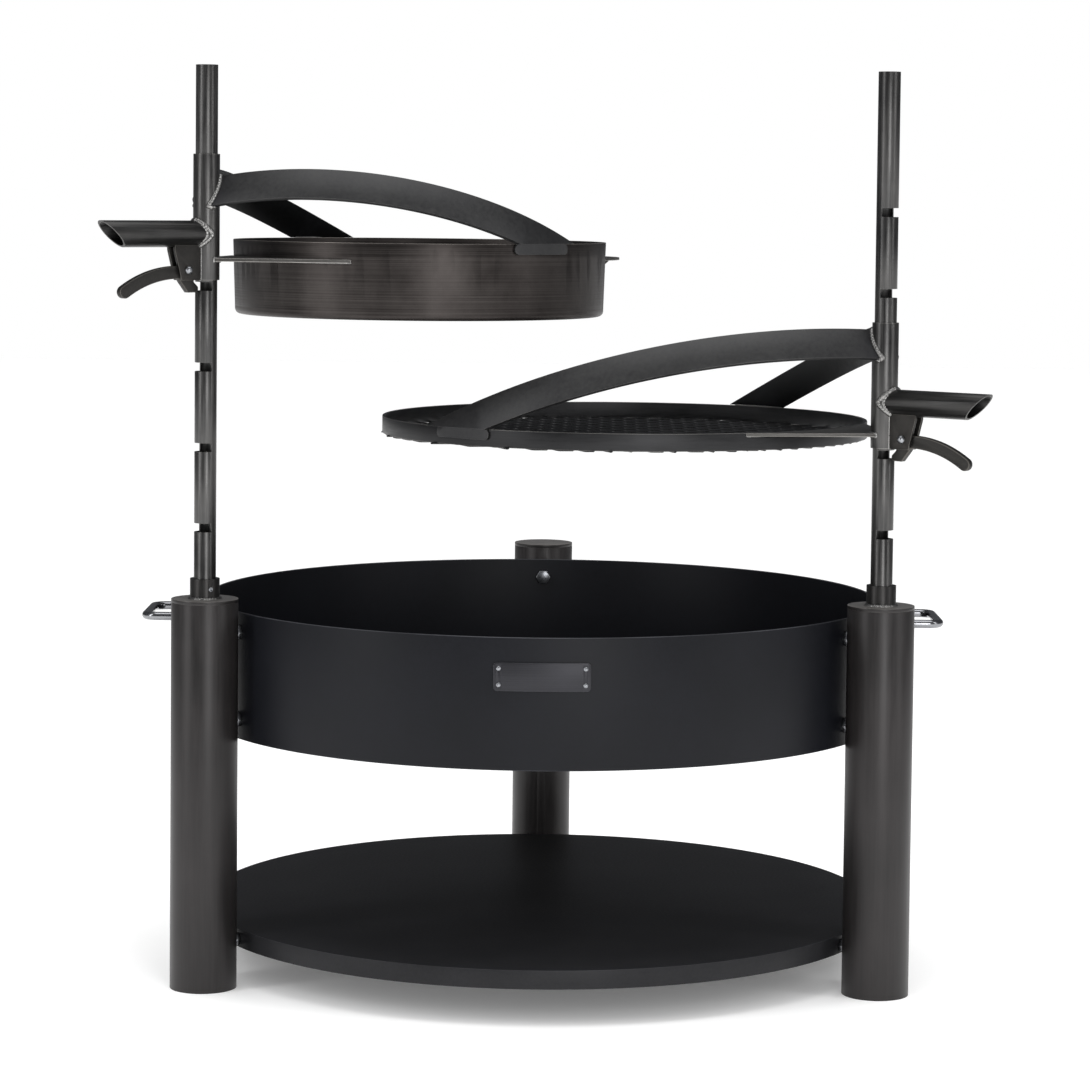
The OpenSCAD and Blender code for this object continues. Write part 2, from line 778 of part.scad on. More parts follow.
// Expanded mesh: rows of diamond openings in a disc, welded under the ring
module grate_mesh() {
    cells = ceil(grate_r / mesh_long) + 1;
    rows = ceil(2 * grate_r / mesh_short) + 1;
    half = [(mesh_long - 2 * mesh_strand) / 2, (mesh_short - mesh_strand) / 2];
    color("#333436") on_arm(RIGHT) translate([grate_reach, 0, grate_rim_z - grate_h - mesh_t])
        linear_extrude(mesh_t) difference() {
            circle(grate_r - 1);
            for (j = [-rows : rows], i = [-cells : cells])
                let (at = [(i + (j % 2 == 0 ? 0 : 0.5)) * mesh_long, j * mesh_short / 2])
                    if (norm(at) < grate_r + half[0]) translate(at)
                        polygon([[half[0], 0], [0, half[1]], [-half[0], 0], [0, -half[1]]]);
        }
}

fire_ring();
bowl_floor();
log_shelf();
badge_plate();
badge_rivets();
left_carry_handle();
right_carry_handle();
left_leg();
right_leg();
rear_leg();
left_leg_cap();
right_leg_cap();
rear_leg_cap();
left_pole_socket();
right_pole_socket();
left_socket_stop();
right_socket_stop();
left_grub_screw();
right_grub_screw();
ring_bolts();
ring_weld_nuts();
shelf_bolts();
shelf_weld_nuts();
left_pole();
right_pole();
left_sleeve();
left_grip_tube();
left_front_bar();
left_rear_bar();
left_gusset();
left_latch_plates();
left_pivot_bolt();
left_pivot_nut();
left_latch_lever();
pan();
pan_handle();
right_sleeve();
right_grip_tube();
right_front_bar();
right_rear_bar();
right_gusset();
right_latch_plates();
right_pivot_bolt();
right_pivot_nut();
right_latch_lever();
grate_ring();
grate_mesh();
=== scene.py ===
# Fire pit with grate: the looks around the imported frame.
# Metres, +Z up, the viewer on the -Y side. The pan arm is on the left, the grate arm on the right.
import json
import math
import random

import bmesh
import bpy
from mathutils import Matrix, Vector


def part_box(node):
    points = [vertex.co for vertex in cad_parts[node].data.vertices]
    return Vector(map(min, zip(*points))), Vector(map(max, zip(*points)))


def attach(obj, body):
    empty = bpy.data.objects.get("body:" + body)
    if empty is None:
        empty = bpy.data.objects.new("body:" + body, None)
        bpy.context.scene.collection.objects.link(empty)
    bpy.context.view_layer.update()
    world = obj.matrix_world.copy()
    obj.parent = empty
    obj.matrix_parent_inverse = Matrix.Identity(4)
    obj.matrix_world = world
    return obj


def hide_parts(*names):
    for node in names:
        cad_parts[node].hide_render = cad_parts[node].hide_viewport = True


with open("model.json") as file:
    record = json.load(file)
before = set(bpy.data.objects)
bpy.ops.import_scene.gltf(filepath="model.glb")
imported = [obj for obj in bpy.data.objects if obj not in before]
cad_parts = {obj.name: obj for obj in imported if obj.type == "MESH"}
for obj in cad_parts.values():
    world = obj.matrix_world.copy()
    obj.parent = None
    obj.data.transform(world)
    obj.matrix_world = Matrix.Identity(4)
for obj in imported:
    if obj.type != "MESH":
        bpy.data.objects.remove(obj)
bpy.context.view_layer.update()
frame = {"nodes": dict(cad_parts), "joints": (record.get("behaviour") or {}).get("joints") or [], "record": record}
NODES = frame["nodes"]
MM = 0.001
draw = random.Random(11)


# Places that several pieces share

def middle(node):
    low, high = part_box(node)
    return (low + high) / 2


def half_width(node):
    low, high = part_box(node)
    return (high.x - low.x) / 2


JOINTS = {joint["name"]: joint for joint in frame["joints"]}
RING_AXIS = middle("fire_ring").xy
RING_R = half_width("fire_ring")
SLEEVE_R = half_width("left_sleeve")
RING_WALL_MM = 3
SPIN_STEPS = 240
WELD_GAP = 0.1 * MM
TOUCH_GAP = 0.08 * MM  # a face this near to a cylinder lies against it
MERGE_GAP = 0.002 * MM  # corners this near to each other are one
FLAT_DEG = 0.4  # faces that meet at less than this are one flat face
SHARP_DEG = 32  # an edge steeper than this is rounded
RIM_DEG = 60
CREASE_DEG = 24  # an edge steeper than this is shaded as a hard line


def pole_axis(side):
    return Vector(JOINTS[side + "_swing"]["pos_m"]).xy


CARRIED = {"left": "pan", "right": "grate_ring"}
BARS = ("_front_bar", "_rear_bar")


# Finishes

def linear(code):
    """An sRGB hex colour as linear RGBA."""
    channels = [int(code[i:i + 2], 16) / 255 for i in (1, 3, 5)]
    curve = [c / 12.92 if c <= 0.04045 else ((c + 0.055) / 1.055) ** 2.4 for c in channels]
    return (*curve, 1.0)


def add_node(material, kind, inputs=None, **settings):
    """Adds a node with its settings; each input is a number, a colour or another node's output."""
    node = material.node_tree.nodes.new(kind)
    for key, value in settings.items():
        setattr(node, key, value)
    for key, value in (inputs or {}).items():
        if isinstance(value, bpy.types.NodeSocket):
            material.node_tree.links.new(value, node.inputs[key])
        else:
            node.inputs[key].default_value = value
    return node


def new_material(name):
    """An empty node material and its shader."""
    material = bpy.data.materials.new(name)
    material.use_nodes = True
    material.node_tree.nodes.clear()
    shader = add_node(material, "ShaderNodeBsdfPrincipled")
    add_node(material, "ShaderNodeOutputMaterial", {"Surface": shader.outputs[0]})
    return material, shader


def metal(name, dark, light, worn, metallic, rough, grain_mm, grain_depth, heat_and_shade_marks=(), specular=0.5):
    """Coated or bare steel: two close shades in soft patches, grain of one size along each axis
    (grain_mm across, grain_depth mm deep), a paler shade where an edge is worn, and a darker
    mark round each place in heat_and_shade_marks (weld heat tints, and painted shade): its
    centre, its reach in metres, its shade and its strength."""
    material, shader = new_material(name)
    link = material.node_tree.links.new
    place = add_node(material, "ShaderNodeTexCoord").outputs["Object"]
    patches = add_node(material, "ShaderNodeTexNoise",
                       {"Vector": place, "Scale": 9.0, "Detail": 5.0, "Roughness": 0.6})
    per_metre = [1 / (size * MM) for size in grain_mm]
    stretched = add_node(material, "ShaderNodeMapping", {"Vector": place, "Scale": per_metre})
    grain = add_node(material, "ShaderNodeTexNoise",
                     {"Vector": stretched.outputs[0], "Scale": 1.0, "Detail": 4.0, "Roughness": 0.65})
    both = add_node(material, "ShaderNodeMix",
                    {0: 0.5, 2: patches.outputs["Fac"], 3: grain.outputs["Fac"]})
    spread = add_node(material, "ShaderNodeMapRange",
                      {"Value": both.outputs[0], "From Min": 0.36, "From Max": 0.64})
    colour = add_node(material, "ShaderNodeMix",
                      {0: spread.outputs[0], 6: linear(dark), 7: linear(light)},
                      data_type="RGBA").outputs[2]
    # Each mark darkens the colour round one place; some are weld heat tints, some painted shade.
    for point, reach, shade, strength in heat_and_shade_marks:
        away = add_node(material, "ShaderNodeVectorMath", {0: place, 1: point}, operation="DISTANCE")
        heat = add_node(material, "ShaderNodeMapRange",
                        {"Value": away.outputs["Value"], "From Min": 0.25 * reach, "From Max": reach,
                         "To Min": strength, "To Max": 0.0}, interpolation_type="SMOOTHSTEP")
        colour = add_node(material, "ShaderNodeMix", {0: heat.outputs[0], 6: colour, 7: linear(shade)},
                          data_type="RGBA").outputs[2]
    wear = add_node(material, "ShaderNodeAttribute", attribute_name="edge_wear")
    broken = add_node(material, "ShaderNodeMapRange",
                      {"Value": patches.outputs["Fac"], "From Min": 0.35, "From Max": 0.6,
                       "To Min": 0.35, "To Max": 1.0})
    rubbed = add_node(material, "ShaderNodeMath", {0: wear.outputs["Fac"], 1: broken.outputs[0]},
                      operation="MULTIPLY")
    colour = add_node(material, "ShaderNodeMix", {0: rubbed.outputs[0], 6: colour, 7: linear(worn)},
                      data_type="RGBA").outputs[2]
    gloss = add_node(material, "ShaderNodeMapRange",
                     {"Value": grain.outputs["Fac"], "From Min": 0.3, "From Max": 0.7,
                      "To Min": rough[0], "To Max": rough[1]})
    bump = add_node(material, "ShaderNodeBump",
                    {"Height": grain.outputs["Fac"], "Strength": 1.0, "Distance": grain_depth * MM})
    link(colour, shader.inputs["Base Color"])
    link(gloss.outputs[0], shader.inputs["Roughness"])
    link(bump.outputs[0], shader.inputs["Normal"])
    shader.inputs["Metallic"].default_value = metallic
    shader.inputs["Specular IOR Level"].default_value = specular
    return material


def stove_paint(name, dark, light):
    """Sprayed heat-resistant paint: near black and nearly matt, with a faint orange peel about
    3 mm across. Its fillers leave less mirror shine than a clear lacquer has."""
    return metal(name, dark, light, "#3c3d41", 0.0, (0.42, 0.52), (3, 3, 3), 0.012, specular=0.18)


def ring_paint():
    return stove_paint("stove_paint_ring", "#0e0f13", "#131419")


def floor_paint():
    return stove_paint("stove_paint_bowl_floor", "#0e0f11", "#141517")


def shelf_paint():
    return stove_paint("stove_paint_shelf", "#1c1c1e", "#252527")


def leg_paint():
    """Painted pipe: the pipe's drawn length shows through as faint upright streaks 4 mm wide."""
    return metal("satin_painted_pipe", "#211f1f", "#2e2b2b", "#565351", 0.35, (0.34, 0.46),
                 (4, 4, 90), 0.02)


def painted_light_cap_top():
    """Cut steel disc, ground flat by hand: fine swirls, in a pale warm grey that is painted light, for the light
    that falls on the caps' tops.
    """
    return metal("painted_light_cap_top", "#807d7a", "#9b9895", "#b5b2ae", 0.75, (0.34, 0.5),
                 (2, 9, 2), 0.02)


def waxed_collar_steel():
    """Turned collar tube, waxed: darker than the poles, with short upright streaks."""
    return metal("waxed_collar_tube", "#2e2d2d", "#3d3c3b", "#77746f", 0.85, (0.32, 0.46),
                 (2, 2, 40), 0.01)


def drawn_tube_steel():
    """Cold-drawn steel tube, waxed: dark, its sheen broken into upright streaks 2 mm wide."""
    return metal("cold_drawn_tube", "#3d3d3d", "#5e5d5c", "#a09e99", 0.9, (0.26, 0.42),
                 (2, 2, 60), 0.012)


def grip_tube_steel():
    """The same tube laid level and a shade darker: its streaks, 1.5 mm apart, run level too."""
    return metal("cold_drawn_grip_tube", "#2f2f2f", "#474645", "#97958f", 0.9, (0.28, 0.44),
                 (60, 60, 1.5), 0.012)


def flat_bar_steel(bar, heat_and_shade_marks):
    """Hot-rolled flat bar, waxed: smooth mill scale, darker where welding heated it at the sleeve,
    with painted shade above the rim. The rear bars are nearly black, a painted shade for the
    shadow they stand in; the front bars are mid grey."""
    # The rear bars' near-black pair of shades is painted shade; the front bars' mid grey is their own colour.
    dark, light = ("#191a1b", "#242526") if "rear" in bar else ("#3a3a3b", "#484848")
    return metal("hot_rolled_" + bar, dark, light, "#868583", 0.85, (0.42, 0.54), (5, 5, 5), 0.012,
                 heat_and_shade_marks)


def cut_plate_steel():
    """Laser-cut plate, waxed, with bright cut edges."""
    return metal("laser_cut_plate", "#464543", "#575553", "#b0ada8", 0.85, (0.36, 0.5),
                 (5, 5, 5), 0.012)


def latch_plate_steel():
    """The same plate in the grip's shade: darker, with duller edges."""
    return metal("laser_cut_latch_plate", "#272625", "#343230", "#6f6c67", 0.8, (0.38, 0.5),
                 (3, 3, 3), 0.012)


def lever_steel():
    """Thick cut plate with softened edges: an even, slightly pebbled dark grey."""
    return metal("laser_cut_lever", "#2a2928", "#383735", "#5b5854", 0.8, (0.42, 0.54),
                 (1.2, 1.2, 1.2), 0.03)


def brushed_pan_steel():
    """Rolled sheet, brushed round the pan: level hairlines, drawn 1.1 mm apart so that they show,
    and 900 mm long so that they run on round the wall."""
    return metal("brushed_pan_sheet", "#231f1e", "#4a4644", "#a09a94", 0.9, (0.32, 0.5),
                 (900, 900, 1.1), 0.02)


def grate_ring_steel():
    """Rolled flat steel ring, waxed and smoked by use."""
    return metal("waxed_grate_ring", "#2a2a2b", "#373738", "#83817e", 0.85, (0.38, 0.5),
                 (40, 40, 3), 0.012)


def expanded_mesh_steel():
    """Slit and stretched sheet, smoked dark, with a torn grain on its strands."""
    return metal("raised_expanded_steel", "#262627", "#373738", "#6f6d6a", 0.85, (0.4, 0.55),
                 (4, 4, 4), 0.02)


def weld_metal():
    """Unground weld: bare, bright and slightly rough."""
    return metal("bare_weld_metal", "#706f6e", "#a1a09e", "#c9c7c4", 0.95, (0.24, 0.4),
                 (2.5, 2.5, 2.5), 0.04)


def zinc_plating():
    """Bright zinc on bolts and nuts, a little dulled."""
    return metal("bright_zinc_plating", "#85878b", "#a2a4a8", "#d5d7da", 1.0, (0.24, 0.4),
                 (2, 2, 2), 0.01)


def polished_stainless():
    """Polished stainless rod, which mirrors its dark and bright surroundings."""
    return metal("polished_stainless_rod", "#77777a", "#96979a", "#b5b6b8", 1.0, (0.16, 0.28),
                 (1, 60, 1), 0.006)


def badge_steel():
    """Anodised plate, brushed lengthways: dark grey with fine level lines."""
    return metal("anodised_badge_plate", "#262629", "#343438", "#7c7d82", 0.7, (0.34, 0.46),
                 (200, 200, 0.8), 0.01)


# Pieces

def add_piece(name, bm, material, body):
    """Turns a bmesh into a piece of the object that moves with one body."""
    mesh = bpy.data.meshes.new(name)
    bm.to_mesh(mesh)
    bm.free()
    mesh.materials.append(material)
    piece = bpy.data.objects.new(name, mesh)
    bpy.context.scene.collection.objects.link(piece)
    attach(piece, body)
    return piece


def body_of(node):
    bodies = frame["record"]["behaviour"]["bodies"]
    return next(body for body, members in bodies.items() if node in members)


def merged_copy(node):
    """A CAD node's mesh with its triangles joined, and its flat faces whole."""
    bm = bmesh.new()
    bm.from_mesh(NODES[node].data)
    bmesh.ops.remove_doubles(bm, verts=bm.verts, dist=MERGE_GAP)
    bmesh.ops.dissolve_limit(bm, angle_limit=math.radians(FLAT_DEG), verts=bm.verts, edges=bm.edges)
    return bm


def shade(bm, crease_deg=CREASE_DEG):
    """Smooth faces, with a hard line wherever two of them meet at more than crease_deg."""
    for face in bm.faces:
        face.smooth = True
    for edge in bm.edges:
        edge.smooth = len(edge.link_faces) == 2 and edge.calc_face_angle() < math.radians(crease_deg)


def round_edges(bm, edge_mm, sharp_deg, segments):
    """Rounds every edge steeper than sharp_deg and marks the new faces as worn."""
    wear = bm.faces.layers.float.new("edge_wear")
    sharp = [e for e in bm.edges
             if len(e.link_faces) == 2 and e.calc_face_angle() > math.radians(sharp_deg)]
    made = bmesh.ops.bevel(bm, geom=sharp, offset=edge_mm * MM, offset_type="OFFSET", affect="EDGES",
                           segments=segments, profile=0.5, material=-1, clamp_overlap=True)
    for face in made["faces"]:
        face[wear] = 1.0
    shade(bm)


def stand_for(node, name, bm, material):
    """Adds a piece that is shown instead of a CAD node, with that node's body."""
    piece = add_piece(name, bm, material, body_of(node))
    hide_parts(node)
    return piece


def finish_node(node, edge_mm, material):
    """Stands for a CAD node: the same shape with its edges rounded and marked as worn."""
    bm = merged_copy(node)
    round_edges(bm, edge_mm, SHARP_DEG, 2)
    return stand_for(node, node + "_finished", bm, material)


def spun_shell(node, wall_mm, edge_mm, material):
    """Stands for a round CAD wall: the same ring, spun in one piece with rounded rims."""
    low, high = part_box(node)
    centre = middle(node)
    outer = half_width(node)
    inner = outer - wall_mm * MM
    bm = bmesh.new()
    corners = [bm.verts.new((centre.x + r, centre.y, z))
               for r, z in ((inner, low.z), (outer, low.z), (outer, high.z), (inner, high.z))]
    section = [bm.edges.new((corners[i - 1], corners[i])) for i in range(4)]
    bmesh.ops.spin(bm, geom=corners + section, cent=centre, axis=(0, 0, 1), angle=2 * math.pi,
                   steps=SPIN_STEPS, use_merge=True)
    bmesh.ops.recalc_face_normals(bm, faces=bm.faces)
    round_edges(bm, edge_mm, RIM_DEG, 3)
    return stand_for(node, node + "_spun", bm, material)


# Welds

RUN_STEP = 0.8 * MM
SHORTEST_RUN = 6  # a stretch with no more points than this gets no bead

# Each bead's width and the length of one ripple, in mm
BEADS = {
    "bar_root": (6.4, 3.6),
    "bar_tab": (2.2, 2.4),
    "grip": (6.6, 3.4),
    "gusset_root": (3.0, 2.8),
    "gusset_edge": (2.4, 2.8),
    "latch_plate": (2.0, 2.4),
    "collar": (5.0, 3.4),
    "carry_handle": (2.6, 2.6),
}


def even_path(points, step, closed):
    """Points spaced evenly along a path."""
    points = list(points) + ([points[0]] if closed else [])
    lengths = [(b - a).length for a, b in zip(points, points[1:])]
    count = max(4, round(sum(lengths) / step))
    spaced = []
    for i in range(count if closed else count + 1):
        left = sum(lengths) * i / count
        k = 0
        while k < len(lengths) - 1 and left > lengths[k]:
            left -= lengths[k]
            k += 1
        spaced.append(points[k].lerp(points[k + 1], min(1, left / lengths[k])))
    return spaced


def sweep(bm, path, radii, closed, sides=8):
    """Draws a round section along a path, with one radius at each point."""
    count = len(path)
    turn = Matrix.Identity(3)
    heading = Vector((0, 0, 1))
    last = Matrix.Identity(4)
    verts = bmesh.ops.create_circle(bm, cap_ends=False, segments=sides, radius=1.0)["verts"]
    first_edges = list({e for v in verts for e in v.link_edges})
    edges = first_edges
    for i, point in enumerate(path):
        ahead = path[(i + 1) % count] if closed or i < count - 1 else point
        behind = path[i - 1] if closed or i > 0 else point
        tangent = (ahead - behind).normalized()
        turn = heading.rotation_difference(tangent).to_matrix() @ turn
        heading = tangent
        here = Matrix.Translation(point) @ turn.to_4x4() @ Matrix.Scale(radii[i], 4)
        if i:
            out = bmesh.ops.extrude_edge_only(bm, edges=edges)["geom"]
            verts = [g for g in out if isinstance(g, bmesh.types.BMVert)]
            edges = [g for g in out if isinstance(g, bmesh.types.BMEdge)]
        bmesh.ops.transform(bm, matrix=here @ last.inverted(), verts=verts)
        last = here
    if closed:
        bmesh.ops.bridge_loops(bm, edges=first_edges + edges)
    else:
        bmesh.ops.contextual_create(bm, geom=first_edges)
        bmesh.ops.contextual_create(bm, geom=edges)


def contact_loops(node, axis, radius):
    """The closed outlines where a CAD node meets an upright cylinder of that radius."""
    bm = merged_copy(node)
    axis = Vector(axis)

    def meets(face):
        return all(abs((v.co.xy - axis).length - radius) < TOUCH_GAP for v in face.verts)

    touching = {f for f in bm.faces if meets(f)}
    border = [e for e in bm.edges if sum(f in touching for f in e.link_faces) == 1]
    loops = []
    while border:
        chain = [border.pop()]
        points = [chain[0].verts[0], chain[0].verts[1]]
        while points[-1] != points[0]:
            step = next((e for e in border if points[-1] in e.verts), None)
            if step is None:
                break
            border.remove(step)
            points.append(step.other_vert(points[-1]))
        if points[-1] == points[0] and len(points) > 4:
            loops.append([v.co.copy() for v in points[:-1]])
    bm.free()
    return loops


def open_runs(loop, keep):
    """The stretches of a closed outline whose points pass a test."""
    fine = even_path(loop, RUN_STEP, True)
    start = next((i for i, p in enumerate(fine) if not keep(p)), 0)
    fine = fine[start:] + fine[:start]
    runs, run = [], []
    for point in fine:
        if keep(point):
            run.append(point)
        elif run:
            runs.append(run)
            run = []
    if run:
        runs.append(run)
    return [r for r in runs if len(r) > SHORTEST_RUN]


def weld_bead(name, kind, paths, body, finish, closed=True):
    """A run bead: round in section, with the ripples that each puddle leaves. An open bead
    starts and ends thin."""
    width_mm, ripple_mm = BEADS[kind]
    per_ripple = 4
    bm = bmesh.new()
    for path in paths:
        path = even_path(path, ripple_mm * MM / per_ripple, closed)
        radii = []
        for i, _ in enumerate(path):
            puddle = abs(math.sin(math.pi * i / per_ripple))
            taper = 1 if closed else min(1, 0.35 + 0.2 * min(i, len(path) - 1 - i))
            radii.append(width_mm / 2 * MM * (0.84 + 0.2 * puddle + draw.uniform(-0.05, 0.05)) * taper)
        sweep(bm, path, radii, closed)
    bmesh.ops.recalc_face_normals(bm, faces=bm.faces)
    shade(bm, 60)
    return add_piece(name, bm, finish, body)


def circle_path(centre, radius, count=48):
    step = 2 * math.pi / count
    return [Vector((centre[0] + radius * math.cos(i * step), centre[1] + radius * math.sin(i * step),
                    centre[2])) for i in range(count)]


def make_arm_welds(side, finish):
    """Beads at the sleeve and along the rim of what an arm carries."""
    pole = pole_axis(side)
    arm = side + "_arm"
    carried = CARRIED[side]
    centre = middle(carried).xy
    rim_r = half_width(carried)
    rim_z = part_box(carried)[1].z
    seat = SLEEVE_R + WELD_GAP
    for bar in BARS:
        weld_bead(side + bar + "_root_weld", "bar_root", contact_loops(side + bar, pole, seat),
                  arm, finish)
        tops = []
        for loop in contact_loops(side + bar, centre, rim_r + WELD_GAP):
            tops += open_runs(loop, lambda p: p.z > rim_z - 0.6 * MM)
        if tops:
            weld_bead(side + bar + "_tab_weld", "bar_tab", tops, arm, finish,
                      closed=False)
    weld_bead(side + "_grip_weld", "grip", contact_loops(side + "_grip_tube", pole, seat),
              arm, finish)
    weld_bead(side + "_gusset_root_weld", "gusset_root", contact_loops(side + "_gusset", pole, seat),
              arm, finish)
    weld_bead(side + "_latch_plate_weld", "latch_plate",
              contact_loops(side + "_latch_plates", pole, seat), arm, finish)
    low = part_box(side + "_gusset")[0].z
    under = []
    for loop in contact_loops(side + "_gusset", centre, rim_r + WELD_GAP):
        under += open_runs(loop, lambda p: p.z < low + 1.0 * MM)
    if under:
        weld_bead(side + "_gusset_edge_weld", "gusset_edge", under, arm, finish,
                  closed=False)


def make_fixed_welds(finish):
    """Fillets round the collars, and beads where the carry handles meet the ring."""
    for side in CARRIED:
        pole = pole_axis(side)
        collar_r = half_width(side + "_pole_socket")
        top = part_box(side + "_leg_cap")[1].z
        weld_bead(side + "_collar_weld", "collar", [circle_path((pole.x, pole.y, top), collar_r)],
                  "root", finish)
        weld_bead(side + "_carry_handle_weld", "carry_handle",
                  contact_loops(side + "_carry_handle", RING_AXIS, RING_R + WELD_GAP),
                  "root", finish)


# Expanded mesh

def make_expanded_mesh(finish):
    """Raised expanded steel: zigzag strands, each turned so that the knuckles step up and down."""
    long_way, short_way = 56 * MM, 24 * MM
    strand_w, strand_t, lean = 2.6 * MM, 1.5 * MM, math.radians(18)
    knuckle = 3.6 * MM
    shortest_strand, shortest_step = 2 * MM, 1 * MM
    sunk = 1.4 * MM  # how far the strands are welded into the ring's lower edge
    ring_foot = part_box("grate_ring")[0].z
    centre = middle("grate_ring")
    radius = half_width("grate_ring") - 2.2 * MM
    pole = pole_axis("right")
    along = math.atan2(centre.y - pole.y, centre.x - pole.x)
    half_y = short_way / 4 - strand_w / 2 * math.cos(lean)
    half_z = strand_w / 2 * math.sin(lean)
    depth = 3 * half_z + strand_t * math.cos(lean)
    half_long = long_way / 2
    far = math.ceil(radius / half_long) + 1

    def strand_at(x, row):
        """The middle of one row's strand at x: it swings between the knuckles on either side."""
        phase = (x / half_long + row) % 2
        flat = knuckle / half_long
        swing = 1 - abs(phase - 1) * 2
        swing = max(-1, min(1, swing / (1 - flat)))
        return Vector((x, (row + 0.5) * short_way / 2 + swing * half_y, -swing * half_z))

    bm = bmesh.new()
    rows = int(2 * radius / short_way) + 1
    for row in range(-rows, rows + 1):
        level = abs((row + 0.5) * short_way / 2)
        if level > radius - shortest_strand:
            continue
        reach = math.sqrt(radius * radius - level * level)
        bends = [k * half_long + s * knuckle / 2 for k in range(-far, far + 1) for s in (-1, 1)]
        stops = [-reach] + [x for x in bends if abs(x) < reach - shortest_step] + [reach]
        verts = bmesh.ops.create_circle(bm, cap_ends=False, segments=4, radius=math.sqrt(0.5),
                                        matrix=Matrix.Rotation(math.radians(45), 4, "Z"))["verts"]
        section = Matrix.Rotation(-lean, 4, "X") @ Matrix.Diagonal((1, strand_w, strand_t, 1)) \
            @ Matrix.Rotation(math.radians(90), 4, "Y")
        start = Matrix.Translation(strand_at(stops[0], row))
        bmesh.ops.transform(bm, matrix=start @ section, verts=verts)
        first = list({e for v in verts for e in v.link_edges})
        edges = first
        for before, x in zip(stops, stops[1:]):
            out = bmesh.ops.extrude_edge_only(bm, edges=edges)["geom"]
            moved = [g for g in out if isinstance(g, bmesh.types.BMVert)]
            edges = [g for g in out if isinstance(g, bmesh.types.BMEdge)]
            bmesh.ops.translate(bm, vec=strand_at(x, row) - strand_at(before, row), verts=moved)
        bmesh.ops.contextual_create(bm, geom=first)
        bmesh.ops.contextual_create(bm, geom=edges)
    bmesh.ops.recalc_face_normals(bm, faces=bm.faces)
    place = Matrix.Translation((centre.x, centre.y, ring_foot + sunk - depth / 2)) \
        @ Matrix.Rotation(along, 4, "Z")
    bmesh.ops.transform(bm, matrix=place, verts=bm.verts)
    shade(bm, 20)
    stand_for("grate_mesh", "expanded_mesh", bm, finish)


# Putting the object together

def bar_heat_and_shade_marks(side):
    """Darker marks on an arm's two bars: a heat tint at the sleeve weld, and painted shade above the rim, where
    the bar bends away from the light.
    """
    pole = pole_axis(side)
    carried = CARRIED[side]
    centre = middle(carried)
    rim_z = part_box(carried)[1].z
    heat_and_shade_marks = {}
    for bar in BARS:
        root = (pole.x, pole.y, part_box(side + bar)[1].z - 30 * MM)
        across = Vector((-(centre.y - pole.y), centre.x - pole.x)).normalized() * half_width(carried)
        foot = min((centre.xy + across, centre.xy - across),
                   key=lambda p: (p - middle(side + bar).xy).length)
        # First mark: painted shade above the rim, where the bar bends away from the light. Second: the heat tint
        # at the sleeve weld.
        heat_and_shade_marks[side + bar] = (((foot.x, foot.y, rim_z), 0.06, "#262629", 0.35),
                             (root, 0.05, "#2a2a2e", 0.6))
    return heat_and_shade_marks


def dress_fixed_frame(zinc):
    """The ring, the shelf and the legs, with all that is fixed to them."""
    pipe, cap, collar = leg_paint(), painted_light_cap_top(), waxed_collar_steel()
    stainless = polished_stainless()
    spun_shell("fire_ring", RING_WALL_MM, 0.8, ring_paint())
    finish_node("bowl_floor", 0.5, floor_paint())
    finish_node("log_shelf", 0.8, shelf_paint())
    finish_node("badge_plate", 0.5, badge_steel())
    finish_node("badge_rivets", 0.2, zinc)
    for leg in ("left", "right", "rear"):
        finish_node(leg + "_leg", 0.5, pipe)
        closed_top = finish_node(leg + "_leg_cap", 0.4, pipe)
        # The cap's top faces get the pale painted-light material, for the light from above; its sides keep the
        # leg's paint.
        closed_top.data.materials.append(cap)
        for face in closed_top.data.polygons:
            face.material_index = 1 if face.normal.z > 0.5 else 0
    for side in CARRIED:
        finish_node(side + "_carry_handle", 0.3, stainless)
        finish_node(side + "_pole_socket", 0.5, collar)
        finish_node(side + "_grub_screw", 0.2, zinc)
        finish_node(side + "_socket_stop", 0.4, pipe)
    for node in ("ring_bolts", "ring_weld_nuts", "shelf_bolts", "shelf_weld_nuts"):
        finish_node(node, 0.5, zinc)


def dress_arms(zinc):
    """The poles, the arms that slide on them, the pan and the grate."""
    tube, grip = drawn_tube_steel(), grip_tube_steel()
    plate, latch, lever = cut_plate_steel(), latch_plate_steel(), lever_steel()
    for side in CARRIED:
        finish_node(side + "_pole", 0.4, tube)
        finish_node(side + "_sleeve", 0.4, tube)
        finish_node(side + "_grip_tube", 0.4, grip)
        for bar, heat_and_shade_marks in bar_heat_and_shade_marks(side).items():
            finish_node(bar, 0.6, flat_bar_steel(bar, heat_and_shade_marks))
        finish_node(side + "_gusset", 0.5, plate)
        finish_node(side + "_latch_plates", 0.5, latch)
        finish_node(side + "_latch_lever", 1.2, lever)
        finish_node(side + "_pivot_bolt", 0.4, zinc)
        finish_node(side + "_pivot_nut", 0.3, zinc)
    finish_node("pan", 0.5, brushed_pan_steel())
    finish_node("pan_handle", 0.4, plate)
    finish_node("grate_ring", 0.5, grate_ring_steel())
    make_expanded_mesh(expanded_mesh_steel())


# Stage

FLOOR_HALF = 14
CAMERA_AWAY = 4.11
CAMERA_HEIGHT = 0.912

# name, width and height, watts, place, the point it is turned to
LIGHTS = (
    ("left_box", (0.5, 2.6), 22, (-2.5, -1.7, 1.5), (0, 0, 0.6)),
    ("right_box", (0.5, 2.6), 14, (2.6, -1.4, 1.6), (0, 0, 0.6)),
    ("front_box", (0.9, 2.0), 40, (0.9, -3.8, 1.2), (0, 0, 0.6)),
    ("top_box", (2.6, 2.2), 40, (0.1, -0.3, 3.2), (0, 0, 0.4)),
)


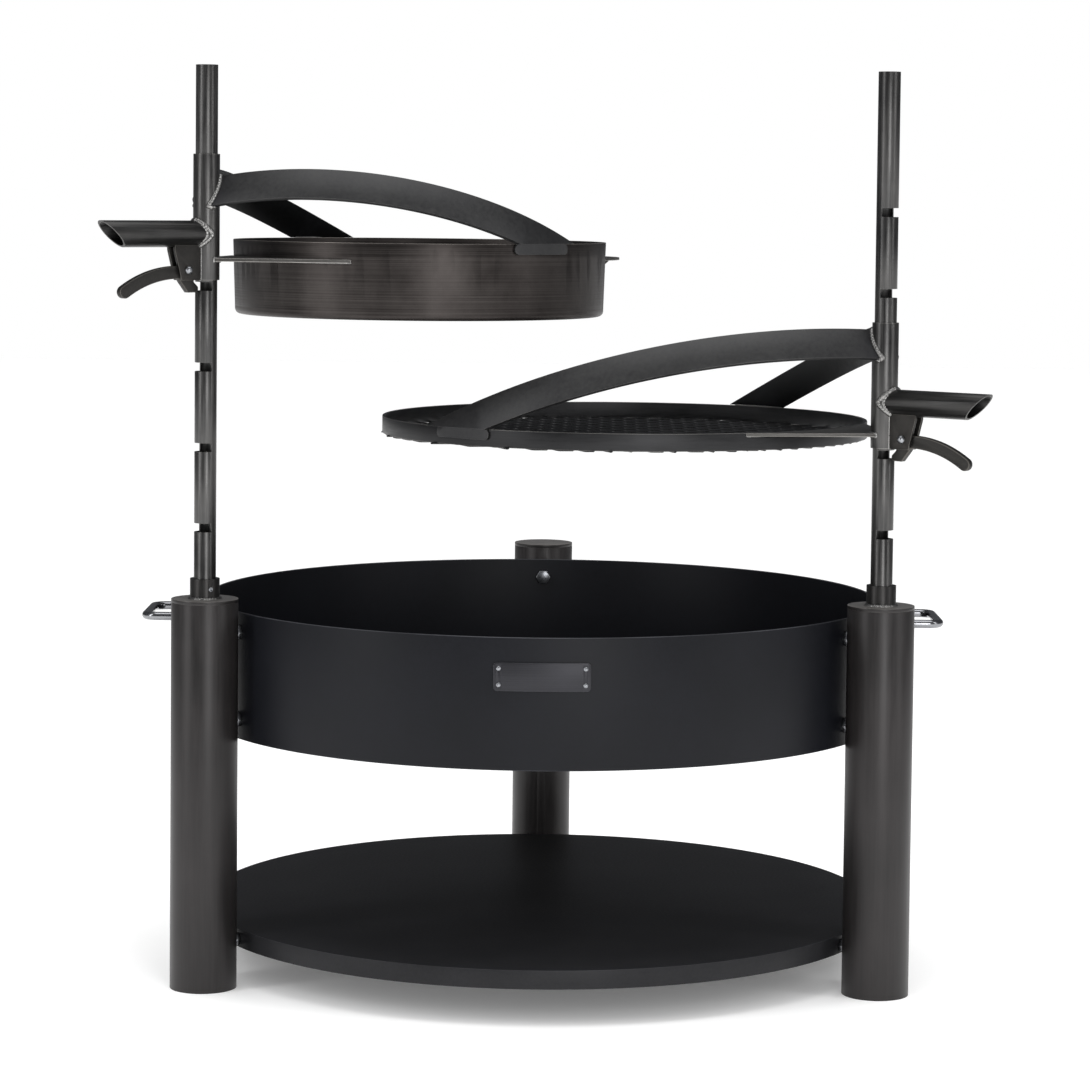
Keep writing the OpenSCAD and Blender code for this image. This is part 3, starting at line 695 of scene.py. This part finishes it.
def make_camera():
    """A long lens in front of the ring, a little below the pole tops."""
    data = bpy.data.cameras.new("camera")
    camera = bpy.data.objects.new("camera", data)
    bpy.context.scene.collection.objects.link(camera)
    data.sensor_width = 36
    data.lens = 113.8
    data.shift_x = 0.0
    data.shift_y = -0.131
    data.clip_end = 50
    pitch, roll = math.radians(3.52), math.radians(0.6)
    camera.location = (RING_AXIS.x, RING_AXIS.y - CAMERA_AWAY, CAMERA_HEIGHT)
    camera.rotation_euler = (Matrix.Rotation(math.pi / 2 - pitch, 3, "X")
                             @ Matrix.Rotation(roll, 3, "Z")).to_euler()
    bpy.context.scene.camera = camera


def add_light(name, size, power, place, aim):
    data = bpy.data.lights.new(name, "AREA")
    data.shape = "RECTANGLE"
    data.size, data.size_y = size
    data.energy = power
    light = bpy.data.objects.new(name, data)
    light.location = place
    light.rotation_euler = (Vector(aim) - Vector(place)).to_track_quat("-Z", "Y").to_euler()
    bpy.context.scene.collection.objects.link(light)


def make_stage():
    """Pale floor, soft boxes left, right, in front and above, and a surround that is bright for
    the eye and dim for reflections, as a studio's far walls are."""
    bm = bmesh.new()
    bmesh.ops.create_grid(bm, x_segments=1, y_segments=1, size=FLOOR_HALF)
    mesh = bpy.data.meshes.new("floor")
    bm.to_mesh(mesh)
    bm.free()
    floor = bpy.data.objects.new("floor", mesh)
    bpy.context.scene.collection.objects.link(floor)
    material, shader = new_material("pale_floor")
    shader.inputs["Base Color"].default_value = linear("#fafafa")
    shader.inputs["Roughness"].default_value = 0.9
    shader.inputs["Emission Color"].default_value = linear("#ffffff")
    shader.inputs["Emission Strength"].default_value = 0.12
    mesh.materials.append(material)
    for name, size, power, place, aim in LIGHTS:
        add_light(name, size, power, place, aim)
    world = bpy.data.worlds.new("surround")
    world.use_nodes = True
    bpy.context.scene.world = world
    nodes, links = world.node_tree.nodes, world.node_tree.links
    nodes["Background"].inputs["Strength"].default_value = 1.0
    ray = nodes.new("ShaderNodeLightPath")
    shade_mix = nodes.new("ShaderNodeMix")
    shade_mix.data_type = "RGBA"
    shade_mix.inputs[6].default_value = (1.0, 1.0, 1.0, 1.0)
    shade_mix.inputs[7].default_value = linear("#5c5d60")
    links.new(ray.outputs["Is Glossy Ray"], shade_mix.inputs[0])
    links.new(shade_mix.outputs[2], nodes["Background"].inputs["Color"])
    bpy.context.scene.view_settings.view_transform = "Standard"


make_camera()
make_stage()
bright_zinc, bare_weld = zinc_plating(), weld_metal()
dress_fixed_frame(bright_zinc)
dress_arms(bright_zinc)
make_fixed_welds(bare_weld)
for arm_side in CARRIED:
    make_arm_welds(arm_side, bare_weld)

bpy.context.view_layer.update()
